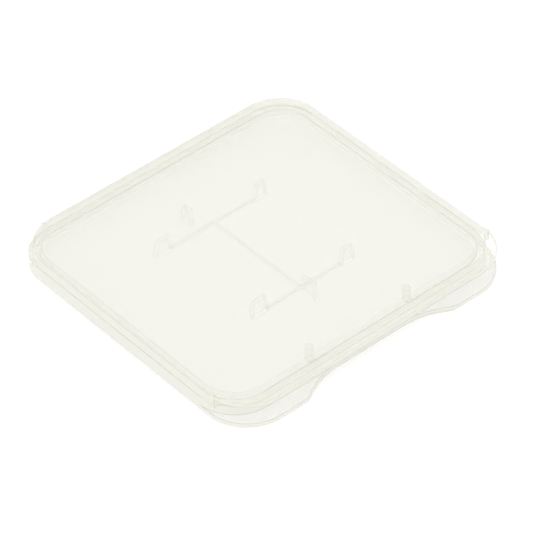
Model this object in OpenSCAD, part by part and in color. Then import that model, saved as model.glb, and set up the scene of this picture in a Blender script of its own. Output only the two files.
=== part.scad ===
// Thin clamshell case for one small memory card, moulded in one piece with a folding strip at the back.
// X runs along the folding strip, the thumb notch faces -Y and the case lies closed on Z = 0.

/* [Case] */
// Width of the case along the folding strip
case_w = 38; // [34:0.5:46]
// Depth of the case from the front lips to the back wall
case_d = 36.8; // [35:0.2:44]
// Thickness of the closed case
case_h = 3.4; // [3.2:0.1:5]
// Height of the line where tray and lid meet
parting_z = 1.8; // [1.6:0.1:2.1]
// Gap between the two rims when the case is closed
rim_gap = 0.05; // [0.02:0.01:0.1]
// Thickness of the tray's floor
floor_t = 0.6; // [0.4:0.05:0.7]
// Thickness of the lid's roof
roof_t = 0.6; // [0.45:0.05:0.7]
// Thickness of the side, back and front walls
wall_t = 0.9; // [0.6:0.1:1.2]
// Radius of the tray's back corners, seen from above
tray_back_r = 4; // [3.6:0.2:4.6]
// Radius of the lid's back corners, seen from above
lid_back_r = 5; // [4.6:0.2:5.6]
// Radius of the corners of the front wall
front_wall_r = 5; // [4:0.2:6]
// Rounding of the lid's upper edge at the sides and the back
lid_edge_r = 0.75; // [0.3:0.05:0.9]
// Rounding of the upper edge of the lid's front lip
lip_edge_r = 0.2; // [0.1:0.05:0.4]
// How far behind the front edge the lid's wide rounding begins
soft_from = 4.3; // [3:0.1:8]
// Rounding of the tray's lower edge
tray_edge_r = 0.2; // [0.1:0.05:0.3]
// Fillet between the tray's floor and its walls
floor_fillet_r = 0.8; // [0.2:0.1:1]
// Fillet between the lid's roof and its rim
roof_fillet_r = 0.3; // [0.1:0.05:0.5]

/* [Front lips and thumb notch] */
// How far the lips of tray and lid stand out from the front wall
lip_out = 1.85; // [1.2:0.05:2.4]
// Radius of the front corners of the lips
lip_corner_r = 5.2; // [4.4:0.2:6]
// Half width of the straight middle of the thumb notch
notch_flat = 4.5; // [3:0.5:5.5]
// Radius of the hollow sides of the thumb notch
notch_hollow_r = 9.5; // [8:0.5:11]
// Radius that leads from the notch into a lip
notch_shoulder_r = 2.5; // [1.5:0.25:2.75]

/* [Card rest] */
// Width of the card
card_w = 11; // [10.5:0.1:12]
// Length of the card
card_l = 15; // [14:0.1:15.6]
// Width of the card's stepped front end
card_front_w = 9.7; // [9:0.1:10.4]
// Room beside the card on each side
card_side_gap = 0.25; // [0.1:0.05:0.4]
// Room before and behind the card
card_end_gap = 0.1; // [0.05:0.05:0.3]
// How far the card lies to the right of the middle
card_x = -0.15; // [-0.6:0.05:0.6]
// How far the card lies behind the middle
card_y = 1.6; // [1:0.1:2.2]
// Thickness of the ribs under the card
rib_t = 0.35; // [0.3:0.05:0.5]
// Height of the ribs under the card
rib_h = 0.35; // [0.25:0.05:0.7]
// Distance of the back cross rib's middle from the card's back edge
back_rib_inset = 1.15; // [0.8:0.05:2]
// Distance of the front cross rib's middle from the front edge of the card's space
front_rib_inset = 0.1; // [0:0.05:0.4]
// Sideways place of the long rib
long_rib_x = 0.05; // [-0.4:0.05:0.4]
// Thickness of the upright tabs round the card
tab_t = 0.5; // [0.4:0.05:0.7]
// Length of the two tabs on the left of the card
left_tab_l = 2.2; // [1.4:0.05:2.6]
// Length of the two tabs on the right of the card
right_tab_l = 1.8; // [1.4:0.05:2.6]
// Length of the tab before the card
front_tab_l = 2.35; // [1.8:0.05:3]
// Length of the tab behind the card
back_tab_l = 1.65; // [1.3:0.05:2.2]
// Sideways place of the tab behind the card
back_tab_x = -1.9; // [-3:0.1:3]
// How far the end faces of a tab lean in by its top
tab_lean = 0.3; // [0.1:0.05:0.5]
// Room between the tabs and the closed lid
tab_top_gap = 0.1; // [0.05:0.05:0.3]

/* [Folding strip] */
// Length of the folding strip
strip_l = 29.6; // [26:0.2:30]
// Thickness of the folding strip
strip_t = 0.25; // [0.2:0.05:0.35]
// Gap between the closed strip and the back walls
strip_gap = 0.18; // [0.15:0.01:0.3]
// Height of the lower fold line
lower_fold_z = 0.9; // [0.7:0.05:1.1]
// Running gap round each fold line
fold_gap = 0.02; // [0.02:0.01:0.04]

/* [Latch] */
// Distance of each latch lug from the middle
lug_x = 6.7; // [5.5:0.1:9]
// Diameter of a latch lug's round post
lug_d = 0.95; // [0.8:0.05:1.2]
// Distance of a post's middle behind the front wall
lug_back = 1.05; // [0.8:0.05:1.4]
// Width of the barb at a lug's tip
barb_w = 0.7; // [0.5:0.1:1]
// Room between a lug's tip and the tray's floor
lug_tip_gap = 0.5; // [0.45:0.05:0.7]
// Gap between a lug's barb and the front wall
lug_gap = 0.15; // [0.12:0.01:0.2]
// How far the catch ridge stands out from the front wall
ridge_out = 0.06; // [0.04:0.01:0.08]
// How much longer the catch ridge is than the barb on each side
ridge_over = 0.3; // [0.1:0.1:0.6]
// How far the catch ridge lies below the top of the front wall
ridge_drop = 0.05; // [0.02:0.01:0.08]
// Room between bead and ridge as they pass
catch_play = 0.02; // [0.01:0.01:0.03]
// Radius of the rounded bead on a barb and of the catch ridge
bead_r = 0.15; // [0.12:0.01:0.18]

/* [Hidden] */
$fn = 64;
// Small overlap that lets joined shapes fuse
join = 0.01;
// How far a cut runs past the face that it opens
spill = wall_t;
// Half width of the case
half_w = case_w / 2;
// How far the folding strip stands out behind the back walls
strip_out = strip_gap + strip_t;
// Front edge of the lips and outer face of the back walls
lip_y = -(case_d + strip_out) / 2;
back_y = lip_y + case_d;
// Outer and inner face of the front wall
front_y = lip_y + lip_out;
front_inner_y = front_y + wall_t;
// Where the wide rounding of the lid's upper edge begins
soft_y = lip_y + soft_from;
// Underside of the roof
roof_z = case_h - roof_t;
// Bottom of the lid's rim
lid_rim_z = parting_z + rim_gap;
// Place of both fold lines
fold_y = back_y + strip_gap + strip_t / 2;
upper_fold_z = case_h - lower_fold_z;
// Radius of the room that each end of the strip leaves for its round bend
fold_room_r = strip_t / 2 + fold_gap;
// Middle of the shoulder that leads from the notch into a lip
shoulder_y = lip_y + notch_shoulder_r;
hollow_y = front_y - notch_hollow_r;
shoulder_x = notch_flat + sqrt(pow(notch_hollow_r + notch_shoulder_r, 2) - pow(shoulder_y - hollow_y, 2));
// Where the hollow of the notch meets the shoulder, from the middle
touch_share = notch_hollow_r / (notch_hollow_r + notch_shoulder_r);
touch_x = notch_flat + (shoulder_x - notch_flat) * touch_share;
// Edges of the space that the card lies in
pocket_back_y = card_y + card_l / 2 + card_end_gap;
pocket_front_y = card_y - card_l / 2 - card_end_gap;
pocket_right_x = card_x + card_w / 2 + card_side_gap;
pocket_left_x = card_x - card_w / 2 - card_side_gap;
pocket_step_x = card_x + card_w / 2 - card_front_w - card_side_gap;
// Middle lines of the two cross ribs
back_rib_y = card_y + card_l / 2 - back_rib_inset;
front_rib_y = pocket_front_y + front_rib_inset;
// Top of the tabs
tab_top_z = roof_z - tab_top_gap;
// Front face of the barbs, height of their underside and how far their bead stands out
lug_y = front_inner_y + lug_gap;
lug_tip_z = floor_t + lug_tip_gap;
bead_out = lug_gap - ridge_out - catch_play;
// The ridge sits just under the wall's top and the bead snaps in below it
ridge_z = parting_z - ridge_drop - bead_r;
bead_z = lug_tip_z + bead_r;

// Outline with straight sides, round front corners and round back corners
module round_outline(half, y0, y1, front_r, back_r) {
    translate([-half, y0 + front_r]) square([2 * half, y1 - y0 - front_r - back_r]);
    translate([-half + front_r, y0]) square([2 * (half - front_r), y1 - y0 - back_r]);
    translate([-half + back_r, y0 + front_r]) square([2 * (half - back_r), y1 - y0 - front_r]);
    for (side = [-1, 1]) {
        translate([side * (half - front_r), y0 + front_r]) circle(front_r);
        translate([side * (half - back_r), y1 - back_r]) circle(back_r);
    }
}

// Section through a plate's edge, reach wide and tall high, with its outer upper corner rounded
module edge_section(reach, tall, edge_r) {
    square([reach - edge_r, tall]);
    square([reach, tall - edge_r]);
    translate([reach - edge_r, tall - edge_r]) circle(edge_r);
}

// Straight stretch of a plate's edge along X, rising from Z = 0 and facing -Y
module edge_bar(long, reach, tall, edge_r) {
    translate([long / 2, 0, 0])
        rotate([90, 0, -90])
            linear_extrude(long) intersection() {
                edge_section(reach, tall, edge_r);
                square([reach, tall]);
            }
}

// Quarter turn of a plate's edge
module edge_corner(reach, tall, edge_r) {
    rotate_extrude(angle = 90) intersection() {
        edge_section(reach, tall, edge_r);
        square([reach, tall]);
    }
}

// Part of a soft-edged plate from a flat cut at y0 to a round-cornered end at y1
module soft_half(half, y0, y1, corner_r, tall, edge_r) {
    side_l = y1 - y0 - corner_r;
    core = half - corner_r;
    translate([-core, y0, 0]) cube([2 * core, side_l, tall]);
    translate([0, y1 - corner_r, 0]) rotate([0, 0, 180]) edge_bar(2 * core, corner_r, tall, edge_r);
    for (side = [-1, 1])
        translate([side * core, y0 + side_l / 2, 0]) rotate([0, 0, side * 90])
            edge_bar(side_l, corner_r, tall, edge_r);
    translate([core, y1 - corner_r, 0]) edge_corner(corner_r, tall, edge_r);
    translate([-core, y1 - corner_r, 0]) rotate([0, 0, 90]) edge_corner(corner_r, tall, edge_r);
}

// Whole soft-edged plate with its own corner radius in front and at the back
module soft_plate(half, y0, y1, front_r, back_r, tall, edge_r) {
    soft_half(half, 0, y1, back_r, tall, edge_r);
    mirror([0, 1, 0]) soft_half(half, 0, -y0, front_r, tall, edge_r);
}

// Room between the walls, with a fillet along its upper edge
module room(back_r, tall, fillet_r) {
    soft_plate(half_w - wall_t, front_inner_y, back_y - wall_t, front_wall_r - wall_t, back_r - wall_t,
               tall, fillet_r);
}

// Half of the thumb notch that is cut from the front lip, with its hollow side and round shoulder
module notch_half() {
    difference() {
        translate([-join, lip_y - spill]) square([shoulder_x + join, lip_out + spill]);
        translate([notch_flat, hollow_y]) difference() {
            square([touch_x - notch_flat, notch_hollow_r]);
            circle(notch_hollow_r);
        }
        intersection() {
            translate([shoulder_x, shoulder_y]) circle(notch_shoulder_r);
            translate([touch_x, lip_y - spill]) square([shoulder_x, lip_out + spill]);
        }
    }
}

// Small rounded rail along X that stands out from a wall that faces +Y
module rail(long, out) {
    translate([-long / 2, out - bead_r, 0]) rotate([0, 90, 0]) cylinder(r = bead_r, h = long);
}

// Shallow tray with a thin floor, low walls and a front lip that is cut away for the thumb
module base_tray() {
    color("white") {
        difference() {
            union() {
                translate([0, 0, floor_t]) mirror([0, 0, 1])
                    soft_plate(half_w, lip_y, back_y, lip_corner_r, tray_back_r, floor_t, tray_edge_r);
                translate([0, 0, floor_t - join]) linear_extrude(parting_z - floor_t + join)
                    round_outline(half_w, front_y, back_y, front_wall_r, tray_back_r);
            }
            for (side = [0, 1])
                mirror([side, 0, 0]) translate([0, 0, -spill]) linear_extrude(floor_t + 2 * spill) notch_half();
            translate([0, 0, parting_z + spill]) mirror([0, 0, 1])
                room(tray_back_r, parting_z + spill - floor_t, floor_fillet_r);
        }
        for (side = [-1, 1])
            translate([side * lug_x, front_inner_y, ridge_z]) rail(barb_w + 2 * ridge_over, ridge_out);
    }
}

// Low ribs that carry the card, two across and one along
module card_ribs() {
    color("white") translate([0, 0, floor_t]) {
        translate([pocket_left_x, back_rib_y - rib_t / 2, 0])
            cube([pocket_right_x - pocket_left_x, rib_t, rib_h]);
        translate([pocket_step_x, front_rib_y - rib_t / 2, 0])
            cube([pocket_right_x - pocket_step_x, rib_t, rib_h]);
        translate([long_rib_x - rib_t / 2, front_rib_y, 0])
            cube([rib_t, back_rib_y - front_rib_y, rib_h]);
    }
}

// Upright tab that starts at the origin, runs along +X and is narrower at its top
module tab(long) {
    tall = tab_top_z - floor_t;
    color("white") translate([0, tab_t / 2, floor_t]) rotate([90, 0, 0]) linear_extrude(tab_t)
        polygon([[0, 0], [long, 0], [long - tab_lean, tall], [tab_lean, tall]]);
}

module card_tab_back_left() { translate([pocket_left_x, back_rib_y, 0]) mirror([1, 0, 0]) tab(left_tab_l); }
module card_tab_back_right() { translate([pocket_right_x, back_rib_y, 0]) tab(right_tab_l); }
module card_tab_front_left() { translate([pocket_step_x, front_rib_y, 0]) mirror([1, 0, 0]) tab(left_tab_l); }
module card_tab_front_right() { translate([pocket_right_x, front_rib_y, 0]) tab(right_tab_l); }
module card_tab_front() { translate([long_rib_x, pocket_front_y, 0]) rotate([0, 0, -90]) tab(front_tab_l); }
module card_tab_back() { translate([back_tab_x, pocket_back_y, 0]) rotate([0, 0, 90]) tab(back_tab_l); }

// Thin ledge from a back wall to a fold line, with the round bend at its end
module film(z) {
    color("white") {
        translate([-strip_l / 2, back_y, z - strip_t / 2]) cube([strip_l, fold_y - back_y, strip_t]);
        translate([-strip_l / 2, fold_y, z]) rotate([0, 90, 0]) cylinder(d = strip_t, h = strip_l);
    }
}

module lower_film() { film(lower_fold_z); }
module upper_film() { film(upper_fold_z); }

// Strip that stands behind the closed case and swings out as the case opens
module hinge_strip() {
    color("white") difference() {
        translate([-strip_l / 2, fold_y - strip_t / 2, lower_fold_z])
            cube([strip_l, strip_t, upper_fold_z - lower_fold_z]);
        for (z = [lower_fold_z, upper_fold_z]) translate([-strip_l / 2 - spill, fold_y, z]) {
            rotate([0, 90, 0]) cylinder(r = fold_room_r, h = strip_l + 2 * spill);
            translate([0, -strip_t, -fold_room_r]) cube([strip_l + 2 * spill, strip_t, 2 * fold_room_r]);
        }
    }
}

// Lid with a soft upper edge, a rim that meets the tray and a lip that overhangs the front wall
module lid_shell() {
    color("white") difference() {
        union() {
            translate([0, 0, lid_rim_z]) {
                soft_half(half_w, soft_y, back_y, lid_back_r, case_h - lid_rim_z, lid_edge_r);
                linear_extrude(roof_z + join - lid_rim_z) intersection() {
                    round_outline(half_w, front_y, back_y, front_wall_r, lid_back_r);
                    translate([-half_w, front_y]) square([case_w, soft_y + join - front_y]);
                }
            }
            translate([0, 0, roof_z]) difference() {
                mirror([0, 1, 0]) soft_half(half_w, 0, -lip_y, lip_corner_r, roof_t, lip_edge_r);
                translate([-half_w - spill, soft_y + join, -spill])
                    cube([case_w + 2 * spill, case_d, roof_t + 2 * spill]);
            }
        }
        translate([0, 0, lid_rim_z - spill]) room(lid_back_r, roof_z - lid_rim_z + spill, roof_fillet_r);
    }
}

// Round post under the roof with a barb at its tip that snaps under the ridge of the tray's front wall
module latch_lug() {
    color("white") {
        translate([0, front_inner_y + lug_back, lug_tip_z]) cylinder(d = lug_d, h = roof_z - lug_tip_z);
        translate([-barb_w / 2, lug_y, lug_tip_z]) cube([barb_w, lug_back - lug_gap, 2 * bead_r]);
        translate([0, lug_y, bead_z]) mirror([0, 1, 0]) rail(barb_w, bead_out);
    }
}

module latch_lug_left() { translate([-lug_x, 0, 0]) latch_lug(); }
module latch_lug_right() { translate([lug_x, 0, 0]) latch_lug(); }

base_tray();
card_ribs();
card_tab_back_left();
card_tab_back_right();
card_tab_front_left();
card_tab_front_right();
card_tab_front();
card_tab_back();
lower_film();
hinge_strip();
upper_film();
lid_shell();
latch_lug_left();
latch_lug_right();
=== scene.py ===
# %% [markdown]
# A thin clamshell case for one small memory card, moulded in frosted polypropylene. The solids of
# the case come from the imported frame, already in metres and in place, so this script only dresses,
# lights and photographs them.

# %% Load the frame
import bpy
import math
from mathutils import Matrix, Vector

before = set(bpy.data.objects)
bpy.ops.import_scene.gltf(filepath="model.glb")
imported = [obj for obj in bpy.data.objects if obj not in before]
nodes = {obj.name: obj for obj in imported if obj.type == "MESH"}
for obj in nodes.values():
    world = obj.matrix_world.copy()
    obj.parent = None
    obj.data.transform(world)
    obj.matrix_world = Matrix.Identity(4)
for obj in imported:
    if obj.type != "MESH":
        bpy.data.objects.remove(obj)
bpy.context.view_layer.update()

# %% [markdown]
# A long lens from far away keeps the sides of a small flat object nearly parallel, as in a
# catalogue picture. One could aim the camera by eye, but the corners of the case pin its place and
# heading down closely, so both are plain numbers. Blender's camera looks along its own -Z. It is
# tipped up from straight down, turned to its heading, and rolled a little about its own axis.

# %% Camera
FRAME_PIXELS = 533
FOCAL_PIXELS = 3618.7
SENSOR_MM = 36.0
CAMERA_PLACE = Vector((-0.18338, -0.21573, 0.25388))
HEADING, DIP, ROLL = (math.radians(a) for a in (40.436, 41.900, -1.127))
NEAREST, FARTHEST = 0.01, 10.0

camera_data = bpy.data.cameras.new("camera")
camera_data.sensor_width = SENSOR_MM
camera_data.lens = FOCAL_PIXELS * SENSOR_MM / FRAME_PIXELS
camera_data.clip_start = NEAREST
camera_data.clip_end = FARTHEST
camera = bpy.data.objects.new("camera", camera_data)
heading = Matrix.Rotation(-HEADING, 4, "Z")
tip = Matrix.Rotation(math.pi / 2 - DIP, 4, "X")
roll = Matrix.Rotation(ROLL, 4, "Z")
camera.matrix_world = Matrix.Translation(CAMERA_PLACE) @ heading @ tip @ roll
bpy.context.scene.collection.objects.link(camera)
bpy.context.scene.camera = camera
distance_mm = round(CAMERA_PLACE.length * 1000)
print("lens", round(camera_data.lens, 1), "mm, distance", distance_mm, "mm")

# %% [markdown]
# Clear plastic shows what is round it more than its own colour, so the surroundings come before the
# plastic. The studio is an all-white sweep. Its upper part is the world itself: one even white that
# lights the case from every side and shows in its gloss. A picture of a real studio would give
# livelier reflections, but a frosted case this thin hardly shows them.

# %% World
SKY_LEVEL = 1.0

world = bpy.data.worlds.new("studio")
bpy.context.scene.world = world
world.use_nodes = True
world.node_tree.nodes.clear()
sky = world.node_tree.nodes.new("ShaderNodeBackground")
sky.inputs["Color"].default_value = (1.0, 1.0, 1.0, 1.0)
sky.inputs["Strength"].default_value = SKY_LEVEL
sky_out = world.node_tree.nodes.new("ShaderNodeOutputWorld")
world.node_tree.links.new(sky.outputs[0], sky_out.inputs["Surface"])
print("sky level:", SKY_LEVEL)

# %% [markdown]
# Every material below is a small tree of nodes. Three helpers keep those trees short to write: one
# starts an empty material, one feeds a socket with a number, a colour or another node's output, and
# one adds a sum.

# %% Helpers for node trees
def new_material(name):
    material = bpy.data.materials.new(name)
    material.use_nodes = True
    material.node_tree.nodes.clear()
    return material, material.node_tree


def feed(tree, socket, value):
    """Link a node's output to the socket, or set a plain number or colour on it."""
    if isinstance(value, bpy.types.NodeSocket):
        tree.links.new(value, socket)
    elif isinstance(value, tuple):
        socket.default_value = (*value, 1.0)
    else:
        socket.default_value = value


def math_node(tree, operation, *values):
    node = tree.nodes.new("ShaderNodeMath")
    node.operation = operation
    for socket, value in zip(node.inputs, values):
        feed(tree, socket, value)
    return node.outputs[0]


print("helpers ready")

# %% [markdown]
# The floor is a plain matt sheet, large enough to reach past the frame. Lit as it is, it would
# photograph light grey. Brighter lamps would burn out the case too, so the sheet gets a little glow
# of its own instead. Only rays that come straight from the camera, from a gloss or through the
# plastic see that glow, so the floor photographs white, still darkens where the case shades it, and
# adds next to nothing to the light on the case.

# %% Floor
FLOOR_HALF = 0.6
FLOOR_DROP = 0.00002
FLOOR_GLOW = 0.25
FLOOR_TONE = 0.80


def seen_rays(tree):
    """1 for rays from the camera, from a gloss or through the plastic, else 0."""
    path = tree.nodes.new("ShaderNodeLightPath").outputs
    either = math_node(tree, "MAXIMUM", path["Is Camera Ray"], path["Is Glossy Ray"])
    return math_node(tree, "MAXIMUM", either, path["Is Transmission Ray"])


corners = [(x * FLOOR_HALF, y * FLOOR_HALF, -FLOOR_DROP)
           for x, y in ((-1, -1), (1, -1), (1, 1), (-1, 1))]
floor_mesh = bpy.data.meshes.new("floor")
floor_mesh.from_pydata(corners, [], [(0, 1, 2, 3)])
floor = bpy.data.objects.new("floor", floor_mesh)
bpy.context.scene.collection.objects.link(floor)

floor_sheet, tree = new_material("floor_sheet")
matt = tree.nodes.new("ShaderNodeBsdfDiffuse")
matt.inputs["Color"].default_value = (FLOOR_TONE, FLOOR_TONE, FLOOR_TONE, 1.0)
glow = tree.nodes.new("ShaderNodeEmission")
feed(tree, glow.inputs["Strength"], math_node(tree, "MULTIPLY", seen_rays(tree), FLOOR_GLOW))
both = tree.nodes.new("ShaderNodeAddShader")
feed(tree, both.inputs[0], matt.outputs[0])
feed(tree, both.inputs[1], glow.outputs[0])
surface = tree.nodes.new("ShaderNodeOutputMaterial")
feed(tree, surface.inputs["Surface"], both.outputs[0])
floor_mesh.materials.append(floor_sheet)
print("floor:", FLOOR_HALF * 2, "m square")

# %% [markdown]
# Two broad soft lamps add to the even white and give the rims their light and shade. The key lamp
# hangs nearly overhead, because a lamp further back would show its own mirror image on the lid. A
# weaker one stands on the left. Both are well away, so their light is even over so small a case.

# %% Lamps
KEY_PLACE = (0.1, 0.2, 0.9)
KEY_SIZE = 0.4
KEY_POWER = 0.5
FILL_PLACE = (-0.6, -0.1, 0.5)
FILL_SIZE = 0.5
FILL_POWER = 0.4


def soft_lamp(name, place, size, power):
    """A square lamp that looks at the middle of the case."""
    lamp = bpy.data.lights.new(name, "AREA")
    lamp.shape = "SQUARE"
    lamp.size = size
    lamp.energy = power
    lamp_object = bpy.data.objects.new(name, lamp)
    lamp_object.location = place
    lamp_object.rotation_euler = (-Vector(place)).to_track_quat("-Z", "Y").to_euler()
    bpy.context.scene.collection.objects.link(lamp_object)


soft_lamp("key_lamp", KEY_PLACE, KEY_SIZE, KEY_POWER)
soft_lamp("fill_lamp", FILL_PLACE, FILL_SIZE, FILL_POWER)

# %% [markdown]
# Polypropylene is naturally a little milky and warm, and a case like this comes from a mould with a
# fine blasted face. A thin wall of it lets most light straight through and scatters the rest. One
# way to make it is glass with a scattering volume inside, which is slow and noisy in walls this
# thin. Here each face is partly see-through and partly matt instead, and a number called density
# says how much of it is matt. The cells below work out that number from the shape alone.
#
# First come the edges. Their colour is painted shade: thin warm dark lines that stand in for the
# darkening that refraction, internal reflection and the longer way through the plastic give the
# edges of a clear moulding. A bevel node finds them: it rounds the normal near an edge, and where
# the rounded normal leaves the true one, there is an edge.

# %% Edges
BEVEL_SAMPLES = 6
FACE_MATCH = 0.99  # how well the two normals agree where the face is still flat
EDGE_MATCH = 0.80  # and how well they agree where the edge is at its strongest


def edge_mask(tree, reach):
    """1 along an edge of the piece and 0 on its open faces."""
    bevel = tree.nodes.new("ShaderNodeBevel")
    bevel.samples = BEVEL_SAMPLES
    bevel.inputs["Radius"].default_value = reach
    true_normal = tree.nodes.new("ShaderNodeNewGeometry").outputs["Normal"]
    match = tree.nodes.new("ShaderNodeVectorMath")
    match.operation = "DOT_PRODUCT"
    feed(tree, match.inputs[0], bevel.outputs["Normal"])
    feed(tree, match.inputs[1], true_normal)
    spread = tree.nodes.new("ShaderNodeMapRange")
    spread.inputs["From Min"].default_value = FACE_MATCH
    spread.inputs["From Max"].default_value = EDGE_MATCH
    feed(tree, spread.inputs["Value"], match.outputs["Value"])
    return spread.outputs["Result"]


print("an edge shows from", round(math.degrees(math.acos(FACE_MATCH))), "degrees of rounding")

# %% [markdown]
# Light that crosses a wall on edge meets more plastic than light that crosses the floor or the
# roof, so upright walls and rounded rims are milkier. The rounded rims also take the painted shade
# of the edge lines. The normal's height part tells the slope: it is 1 on a level face and 0 on an
# upright one. Its square doesn't mind whether a face is seen from the front or from behind, so one
# formula serves both.

# %% Slopes
PEAK = 4.0  # level times rest is a quarter at 45 degrees, so four times it is 1 there


def slope_masks(tree):
    """Two shares that follow the slope of a face: 1 at 45 degrees, and 1 on an upright wall."""
    split = tree.nodes.new("ShaderNodeSeparateXYZ")
    feed(tree, split.inputs[0], tree.nodes.new("ShaderNodeTexCoord").outputs["Normal"])
    level = math_node(tree, "MULTIPLY", split.outputs["Z"], split.outputs["Z"])
    rest = math_node(tree, "SUBTRACT", 1.0, level)
    product = math_node(tree, "MULTIPLY", level, rest)
    return math_node(tree, "MULTIPLY", product, PEAK), math_node(tree, "MULTIPLY", rest, rest)


print("slopes: roundings and upright walls")

# %% [markdown]
# The outer faces of the walls take a much larger matt share than the inner ones. That is painted
# shade: it darkens the walls as light lost to internal reflection inside them would, and gives the
# case its firm outline. The inside has to let the light through to the card rest, so it stays
# clear. A vertex colour could mark the two, but the shape already tells them apart: the plane of an
# outer face has the middle of the case behind it, and the plane of an inner face has it in front.

# %% Outer and inner walls
TURNOVER = 0.002  # metres each side of the middle over which a wall changes from inner to outer


def outward_mask(tree):
    """1 on faces that look away from the middle of the case and 0 on faces that look towards it.

    A face that is seen from behind gives its normal the other way round. Backfacing turns it back,
    so the mask is the same from every side.
    """
    coords = tree.nodes.new("ShaderNodeTexCoord").outputs
    plane = tree.nodes.new("ShaderNodeVectorMath")
    plane.operation = "DOT_PRODUCT"
    feed(tree, plane.inputs[0], coords["Object"])
    feed(tree, plane.inputs[1], coords["Normal"])
    spread = tree.nodes.new("ShaderNodeMapRange")
    spread.inputs["From Min"].default_value = -TURNOVER
    spread.inputs["From Max"].default_value = TURNOVER
    feed(tree, spread.inputs["Value"], plane.outputs["Value"])
    behind = tree.nodes.new("ShaderNodeNewGeometry").outputs["Backfacing"]
    difference = math_node(tree, "SUBTRACT", spread.outputs["Result"], behind)
    return math_node(tree, "ABSOLUTE", difference)


print("inner and outer walls meet within", TURNOVER * 1000, "mm of the middle")

# %% [markdown]
# Two more helpers blend by such a mask: one between two numbers, and one between two colours.

# %% Blends
def between(tree, share, low, high):
    """A number that runs from low to high as the share runs from 0 to 1."""
    node = tree.nodes.new("ShaderNodeMapRange")
    feed(tree, node.inputs["Value"], share)
    feed(tree, node.inputs["To Min"], low)
    feed(tree, node.inputs["To Max"], high)
    return node.outputs["Result"]


def mixed(tree, share, a, b):
    """A colour that runs from a to b as the share runs from 0 to 1."""
    node = tree.nodes.new("ShaderNodeMix")
    node.data_type = "RGBA"
    feed(tree, node.inputs["Factor"], share)
    feed(tree, node.inputs["A"], a)
    feed(tree, node.inputs["B"], b)
    return node.outputs["Result"]


print("blends ready")

# %% [markdown]
# The plastic isn't perfectly even. Slow clouds of haze change its colour and polish by a hair, and
# the blasted mould leaves a grain of less than a millimetre. Both are noise textures in each
# piece's own coordinates, so they stay on the plastic when the lid opens. The grain is only a bump,
# because it is far too shallow to change the outline.

# %% Haze and grain
HAZE_SCALE = 160.0
HAZE_DETAIL = 4.0
GRAIN_SCALE = 1500.0
GRAIN_DETAIL = 2.0
GRAIN_STRENGTH = 0.15
GRAIN_DEPTH = 0.00001


def noise(tree, scale, detail):
    node = tree.nodes.new("ShaderNodeTexNoise")
    node.inputs["Scale"].default_value = scale
    node.inputs["Detail"].default_value = detail
    feed(tree, node.inputs["Vector"], tree.nodes.new("ShaderNodeTexCoord").outputs["Object"])
    return node.outputs["Fac"]


def grain(tree):
    bump = tree.nodes.new("ShaderNodeBump")
    bump.inputs["Strength"].default_value = GRAIN_STRENGTH
    bump.inputs["Distance"].default_value = GRAIN_DEPTH
    feed(tree, bump.inputs["Height"], noise(tree, GRAIN_SCALE, GRAIN_DETAIL))
    return bump.outputs[0]


print("haze about", round(1000 / HAZE_SCALE), "mm, grain about", round(1000 / GRAIN_SCALE, 1), "mm")

# %% [markdown]
# Now the plastic itself, one Principled shader for every piece. Its Alpha is the density: the matt
# share of a face. The other share passes straight through, which is what a thin wall does, since
# its second side undoes the bend that its first side gives the light. What differs from piece to
# piece comes in as arguments: how milky its level faces and its inner and outer walls are, with the
# painted shade on the outer walls, how wide its painted edge lines are, and how strongly its
# roundings take their painted shade.

# %% Milky plastic
PLASTIC_IOR = 1.49
TINT = (0.928, 0.926, 0.842)
HAZE_DIM = 0.985
HAZY_TINT = tuple(c * HAZE_DIM for c in TINT)
# Painted shade along the edges: the warm dark colour of the edge lines, and their matt share.
EDGE_SHADE_TINT = (0.58, 0.54, 0.40)
EDGE_SHADE_DENSITY = 0.65
GLASSINESS = 0.1
SHINE = 0.12
SMOOTHEST, ROUGHEST = 0.08, 0.14


def milky_plastic(name, face, inner_wall, outer_wall_shade, reach, soft):
    material, tree = new_material(name)
    haze = noise(tree, HAZE_SCALE, HAZE_DETAIL)
    rounding, upright = slope_masks(tree)
    # Painted shade on the roundings: a share of the edge colour and of the edge's matt share.
    rounding_shade = math_node(tree, "MULTIPLY", rounding, soft)
    edge = math_node(tree, "MAXIMUM", edge_mask(tree, reach), rounding_shade)
    # Painted shade on the walls: outer faces take a much larger matt share than inner faces.
    wall = between(tree, outward_mask(tree), inner_wall, outer_wall_shade)
    density = between(tree, edge, between(tree, upright, face, wall), EDGE_SHADE_DENSITY)

    body = tree.nodes.new("ShaderNodeBsdfPrincipled")
    body.inputs["IOR"].default_value = PLASTIC_IOR
    body.inputs["Specular IOR Level"].default_value = SHINE
    body.inputs["Transmission Weight"].default_value = GLASSINESS
    # Painted shade: edges and roundings take the warm dark edge colour.
    colour = mixed(tree, edge, mixed(tree, haze, HAZY_TINT, TINT), EDGE_SHADE_TINT)
    feed(tree, body.inputs["Base Color"], colour)
    feed(tree, body.inputs["Alpha"], density)
    feed(tree, body.inputs["Roughness"], between(tree, haze, SMOOTHEST, ROUGHEST))
    feed(tree, body.inputs["Normal"], grain(tree))
    surface = tree.nodes.new("ShaderNodeOutputMaterial")
    feed(tree, surface.inputs["Surface"], body.outputs[0])
    print(name, "faces", face, "walls", inner_wall, "to", outer_wall_shade)
    return material
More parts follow.
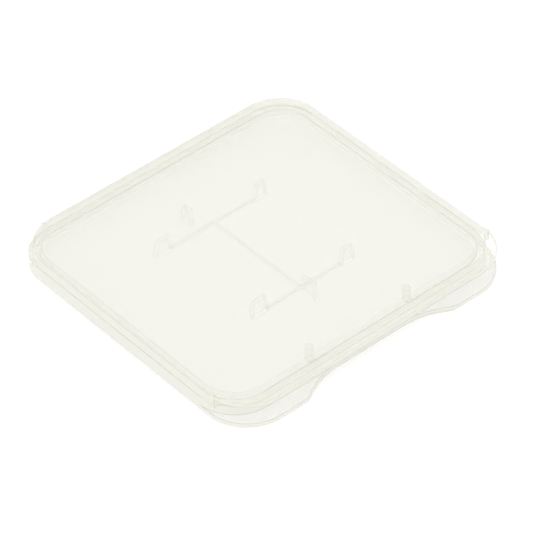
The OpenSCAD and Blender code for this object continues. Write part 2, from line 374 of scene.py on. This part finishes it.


# %% [markdown]
# The case is one moulding, so all its pieces share the plastic and differ only in thickness. The
# lid and the tray are the two shells. The lid's rim is rounder, so its rounding takes more of the
# painted edge shade. The hinge film is thin enough to be nearly clear. The two round latch posts are
# solid, so they look milkier than the low ribs and tabs that hold the card, which show by their
# painted edge lines alone.

# %% Dress the pieces
# The outer-wall share paints shade on the walls, and the rounding shares paint shade on the rims.
FACE, INNER_WALL, OUTER_WALL_SHADE = 0.165, 0.07, 0.58
FILM, POST, CARD_REST = 0.05, 0.16, 0.02
SHELL_REACH, FILM_REACH, SMALL_REACH = 0.00018, 0.0001, 0.00014
LID_ROUNDING_SHADE, PLAIN_ROUNDING_SHADE = 0.28, 0.15

lid_plastic = milky_plastic("lid_plastic", FACE, INNER_WALL, OUTER_WALL_SHADE, SHELL_REACH, LID_ROUNDING_SHADE)
tray_plastic = milky_plastic("tray_plastic", FACE, INNER_WALL, OUTER_WALL_SHADE, SHELL_REACH, PLAIN_ROUNDING_SHADE)
film_plastic = milky_plastic("film_plastic", FILM, FILM, FILM, FILM_REACH, PLAIN_ROUNDING_SHADE)
inner_plastic = milky_plastic(
    "inner_plastic", CARD_REST, CARD_REST, CARD_REST, SMALL_REACH, PLAIN_ROUNDING_SHADE)
post_plastic = milky_plastic("post_plastic", POST, POST, POST, SMALL_REACH, PLAIN_ROUNDING_SHADE)

dress = {
    "lid_shell": lid_plastic,
    "base_tray": tray_plastic,
    "latch_lug_left": post_plastic,
    "latch_lug_right": post_plastic,
    "lower_film": film_plastic,
    "hinge_strip": film_plastic,
    "upper_film": film_plastic,
}
for name, node in nodes.items():
    node.data.materials.clear()
    node.data.materials.append(dress.get(name, inner_plastic))
print("dressed:", sorted(nodes))

# %% [markdown]
# The picture keeps Blender's plain Standard view, so that a colour written here is the colour seen.
# A line of sight crosses four see-through faces in the middle of the closed case, and a dozen or
# more where walls, tabs and films stand behind each other. Blender stops after eight and paints
# what is left black, so the limits are raised until every ray comes out on the far side.

# %% Finish
SEE_THROUGH_FACES = 48
LIGHT_BOUNCES = 24

bpy.context.scene.view_settings.view_transform = "Standard"
cycles = bpy.context.scene.cycles
cycles.transparent_max_bounces = SEE_THROUGH_FACES
cycles.max_bounces = LIGHT_BOUNCES
cycles.transmission_bounces = LIGHT_BOUNCES
